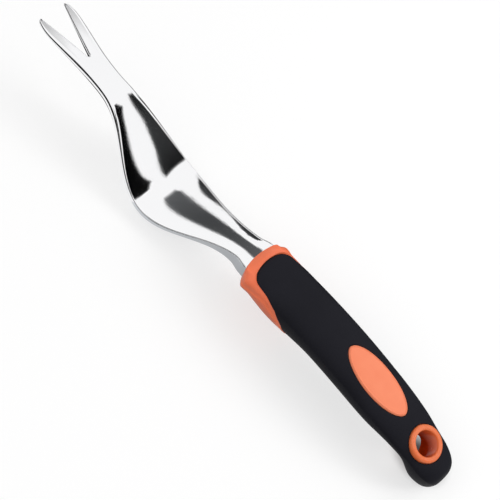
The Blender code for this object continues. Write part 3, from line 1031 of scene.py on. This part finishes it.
def makeHangEye():
    bm = bmesh.new()
    barrel = eye["bore"] + eye["wall"]
    seat = handle["gap"] - eye["seat"]
    proud = eye["proud"]
    inner = Vector((eye["bore"], 0.0, proud))
    outer = Vector((eye["flange"], 0.0, proud))
    across = Vector((1.0, 0.0, 0.0))
    down = Vector((0.0, 0.0, -1.0))
    near = eye["innerRound"]
    far = eye["outerRound"]
    profile = roundCorner(inner + down * near, inner, inner + across * near, eye["roundSpots"])
    profile += roundCorner(outer - across * far, outer, outer + down * far, eye["roundSpots"])
    profile += [Vector((eye["flange"], 0.0, seat)), Vector((barrel, 0.0, seat))]
    verts = [bm.verts.new(spot) for spot in profile]
    edges = [bm.edges.new(pair) for pair in zip(verts, verts[1:])]
    bmesh.ops.spin(bm, geom=verts + edges, cent=(0.0, 0.0, 0.0), axis=(0.0, 0.0, 1.0),
                   angle=2.0 * math.pi, steps=eye["turns"], use_merge=True)
    under = handleFace(-1.0, 0.0)
    toEye = eyeFrame.inverted()

    def onRim(spot, radius, level):
        off = math.hypot(spot.x, spot.y) - radius
        return max(abs(spot.z - level), abs(off)) < eye["tolerance"]

    ends = []
    for radius, level in ((barrel, seat), (eye["bore"], proud - near)):
        bounds = [e for e in bm.edges if e.is_boundary]
        ring = walk([e for e in bounds if all(onRim(v.co, radius, level) for v in e.verts)])
        starts = [v.co.copy() for v in ring]
        stops = []
        for spot in starts:
            stops.append(toEye @ eyeSpot(radius, math.atan2(spot.y, spot.x), under))
        for r in range(1, eye["wallRows"] + 1):
            ring = growRing(bm, ring, [a.lerp(b, r / eye["wallRows"]) for a, b in zip(starts, stops)])
        ends.append(ring)
    joinRings(bm, ends[0], ends[1])
    roundEdges(bm, ringEdges(bm, ends[1]), eye["endRound"])
    bmesh.ops.transform(bm, matrix=eyeFrame, verts=bm.verts)
    finishPiece(bm, "hang_eye_bush", "hang_eye", orangeBush())


makeForkHead()
makeGripSleeve()
makeHandleCore()
makeThumbInlay()
makeHangEye()


# camera at the photograph's angle, given in the tool's own frame

view = {
    "lean": 32.0,            # degrees from straight above, towards -Y
    "turn": 50.6,            # the tool runs down to the right in the picture
    "distance": 0.85,
    "lens": 120.0,
    "sensor": 36.0,
    "clipStart": 0.01,
    "aim": (-0.0056, 0.0, 0.0047),
}


def makeCamera():
    lean = math.radians(view["lean"])
    turn = math.radians(view["turn"])
    back = Vector((0.0, -math.sin(lean), math.cos(lean)))
    across = Vector((0.0, math.cos(lean), math.sin(lean)))
    lengthways = Vector((1.0, 0.0, 0.0))
    right = lengthways * math.cos(turn) + across * math.sin(turn)
    up = across * math.cos(turn) - lengthways * math.sin(turn)
    pose = Matrix((right, up, back)).transposed().to_4x4()
    pose.translation = Vector(view["aim"]) + back * view["distance"]
    data = bpy.data.cameras.new("photo view")
    data.lens = view["lens"]
    data.sensor_width = view["sensor"]
    data.clip_start = view["clipStart"]
    camera = bpy.data.objects.new("photo view", data)
    camera.matrix_world = toFrame @ pose
    bpy.context.scene.collection.objects.link(camera)
    bpy.context.scene.camera = camera


# studio: pale floor with a painted shadow under the butt, white surround, soft lamps, and dark flags that
# only reflections see, painted reflections of dark cards

studio = {
    "floorSize": 3.0,
    "floorColour": 0.42,     # part of the floor's white that can take a shadow
    "skyLevel": 0.62,
    "flagDistance": 1.6,
    "flagCells": 32,
    "flagTint": (0.97, 1.0, 1.035),
    # a flag: points on two edges in degrees round from +X and above the floor, two levels, softness
    "skyFlags": {
        "handle side": (((24, 2), (24, 20), (31, 37), (46, 60)), ((-4, 2), (-4, 20), (-12, 37), (-26, 62)),
                        0.05, 0.006, 0.12),
        "front side": (((42, -7), (44, 12), (47, 24), (50, 39)), ((72, -7), (79, 12), (76, 24), (65, 39)),
                       0.002, 0.004, 0.14),
        "far side": (((70, -6), (117, -6)), ((70, 14), (117, 14)), 0.01, 0.01, 0.12),
        "tip side": (((102, 52), (116, 42), (132, 28), (140, 15), (145, 0)),
                     ((108, 69), (141, 66), (158, 44), (159, 28), (157, 4)), 0.12, 0.045, 0.17),
        "tip end": (((199, 76), (174, 58), (167, 39), (166, 18)),
                    ((228, 76), (194, 58), (184, 41), (176, 17)), 0.02, 0.05, 0.08),
        "camera side": (((-170, -2), (-10, -2)), ((-150, 66), (-90, 74), (-25, 66)), 0.01, 0.01, 0.06),
    },
    # the same with places just over the floor, also painted reflections only
    "floorFlags": {
        "far floor": (((-0.5, 0.025, 0.001), (0.3, 0.025, 0.001)),
                      ((-0.9, 1.5, 0.001), (1.4, 1.5, 0.001)), 0.01, 0.01, 0.02),
        "fork floor": (((-0.21, 0.008, 0.001), (-0.11, 0.008, 0.001)),
                       ((-0.21, -0.034, 0.001), (-0.11, -0.034, 0.001)), 0.006, 0.006, 0.05),
        "neck floor": (((-0.06, 0.01, 0.002), (0.04, 0.01, 0.002)),
                       ((-0.06, -0.12, 0.002), (0.04, -0.12, 0.002)), 0.70, 0.20, 0.1),
        "grip floor": (((0.0, -0.01, 0.001), (0.25, -0.01, 0.001)),
                       ((0.0, -0.60, 0.001), (0.25, -0.60, 0.001)), 0.02, 0.02, 0.08),
    },
    "lamps": {               # place, width, height, power
        "key": ((0.55, 0.75, 1.15), 0.9, 0.9, 5.5),
        "fill": ((-0.6, -0.9, 1.0), 1.2, 1.2, 5.0),
        "strip": ((0.72, 0.49, 0.50), 0.18, 0.36, 1.6),
    },
    "contact": ((0.139, 0.007), (0.021, 0.016)),     # painted shadow under the butt: middle and reach
    "contactCore": 0.25,     # share of its reach that is darkest
    "contactDark": 0.08,
}


def seenDirectly(nodes, links):  # 1 for camera, glossy and transmission rays
    rays = nodes.new("ShaderNodeLightPath").outputs
    seen = combine(nodes, links, "MAXIMUM", rays["Is Camera Ray"], rays["Is Glossy Ray"])
    return combine(nodes, links, "MAXIMUM", seen, rays["Is Transmission Ray"])


def stageObject(name, bm, material):
    mesh = bpy.data.meshes.new(name)
    bm.to_mesh(mesh)
    bm.free()
    mesh.materials.append(material)
    thing = bpy.data.objects.new(name, mesh)
    bpy.context.scene.collection.objects.link(thing)
    return thing


def emptyMaterial(name):  # nothing in it but the output
    material = bpy.data.materials.new(name)
    material.use_nodes = True
    nodes = material.node_tree.nodes
    nodes.clear()
    output = nodes.new("ShaderNodeOutputMaterial")
    return material, nodes, material.node_tree.links, output.inputs["Surface"]


def contactShade(nodes, links):  # painted shadow: 1 on the open floor, nearly 0 in the dark spot where the butt rests
    (x, y), (reachX, reachY) = studio["contact"]
    spots = ownSpots(nodes, links, (1.0 / reachX, 1.0 / reachY, 1.0), (-x / reachX, -y / reachY, 0.0))
    away = nodes.new("ShaderNodeVectorMath")
    away.operation = "LENGTH"
    links.new(spots, away.inputs[0])
    return spread(nodes, links, away.outputs["Value"], (studio["contactCore"], 1.0),
                  (studio["contactDark"], 1.0), "SMOOTHSTEP")


def makeFloor():
    bm = bmesh.new()
    bmesh.ops.create_grid(bm, x_segments=2, y_segments=2, size=studio["floorSize"])
    material, nodes, links, surface = emptyMaterial("pale floor")
    matte = nodes.new("ShaderNodeBsdfDiffuse")
    glow = nodes.new("ShaderNodeEmission")
    both = nodes.new("ShaderNodeAddShader")
    share = studio["floorColour"]
    # the painted shadow darkens both the floor's glow and its colour
    shade = contactShade(nodes, links)
    white = combine(nodes, links, "MULTIPLY", seenDirectly(nodes, links), 1.0 - share)
    links.new(combine(nodes, links, "MULTIPLY", shade, white), glow.inputs["Strength"])
    links.new(combine(nodes, links, "MULTIPLY", shade, share), matte.inputs["Color"])
    links.new(matte.outputs["BSDF"], both.inputs[0])
    links.new(glow.outputs["Emission"], both.inputs[1])
    links.new(both.outputs["Shader"], surface)
    stageObject("pale_floor", bm, material)


def onEdge(points, t):  # a spot on a smooth line through a few points
    steps = range(len(points))
    return Vector([along(list(zip(steps, values)), t * steps[-1]) for values in zip(*points)])


def flagMaterial(name, start, end):  # painted reflection: dark glow that fades out at the edge
    material, nodes, links, surface = emptyMaterial("flag " + name)
    mix = nodes.new("ShaderNodeMixShader")
    clear = nodes.new("ShaderNodeBsdfTransparent")
    glow = nodes.new("ShaderNodeEmission")
    glow.inputs["Color"].default_value = (*studio["flagTint"], 1.0)
    sources = {}
    for layer in ("inside", "run"):
        attribute = nodes.new("ShaderNodeAttribute")
        attribute.attribute_name = layer
        sources[layer] = attribute.outputs["Fac"]
    links.new(sources["inside"], mix.inputs["Fac"])
    links.new(spread(nodes, links, sources["run"], (0.0, 1.0), (start, end)), glow.inputs["Strength"])
    links.new(clear.outputs["BSDF"], mix.inputs[1])
    links.new(glow.outputs["Emission"], mix.inputs[2])
    links.new(mix.outputs["Shader"], surface)
    return material


def onSky(turns):
    bearing, height = (math.radians(turn) for turn in turns)
    return Vector((math.cos(bearing) * math.cos(height), math.sin(bearing) * math.cos(height),
                   math.sin(height))) * studio["flagDistance"]


def makeFlag(name, where, inner, outer, start, end, soft):
    bm = bmesh.new()
    cells = studio["flagCells"]
    inside = bm.verts.layers.float.new("inside")
    run = bm.verts.layers.float.new("run")
    for v in bmesh.ops.create_grid(bm, x_segments=cells, y_segments=cells, size=0.5)["verts"]:
        s, t = v.co.x + 0.5, v.co.y + 0.5
        v[inside] = ease(0.0, 1.0, min(s, 1.0 - s, t, 1.0 - t) / soft)
        v[run] = s
        v.co = where(onEdge(inner, s).lerp(onEdge(outer, s), t))
    flag = stageObject("flag_" + name.replace(" ", "_"), bm, flagMaterial(name, start, end))
    # seen only in reflections: a painted reflection, no real card
    flag.visible_camera = False
    flag.visible_diffuse = False
    flag.visible_shadow = False
    flag.visible_transmission = False


def makeWorld():
    world = bpy.data.worlds.new("white surround")
    bpy.context.scene.world = world
    world.use_nodes = True
    nodes = world.node_tree.nodes
    links = world.node_tree.links
    sky = nodes["Background"]
    sky.inputs["Color"].default_value = (1.0, 1.0, 1.0, 1.0)
    level = spread(nodes, links, seenDirectly(nodes, links), (0.0, 1.0), (studio["skyLevel"], 1.0))
    links.new(level, sky.inputs["Strength"])


def makeLamps():
    for name, (spot, width, height, power) in studio["lamps"].items():
        data = bpy.data.lights.new(name, "AREA")
        data.shape = "RECTANGLE"
        data.size = width
        data.size_y = height
        data.energy = power
        lamp = bpy.data.objects.new(name, data)
        lamp.location = spot
        lamp.rotation_euler = Vector(spot).to_track_quat("Z", "Y").to_euler()
        lamp.visible_glossy = False
        bpy.context.scene.collection.objects.link(lamp)


makeCamera()
makeFloor()
makeWorld()
makeLamps()
for flagName, flagValues in studio["skyFlags"].items():
    makeFlag(flagName, onSky, *flagValues)
for flagName, flagValues in studio["floorFlags"].items():
    makeFlag(flagName, Vector, *flagValues)
bpy.context.scene.view_settings.view_transform = "Standard"
print("studio set")
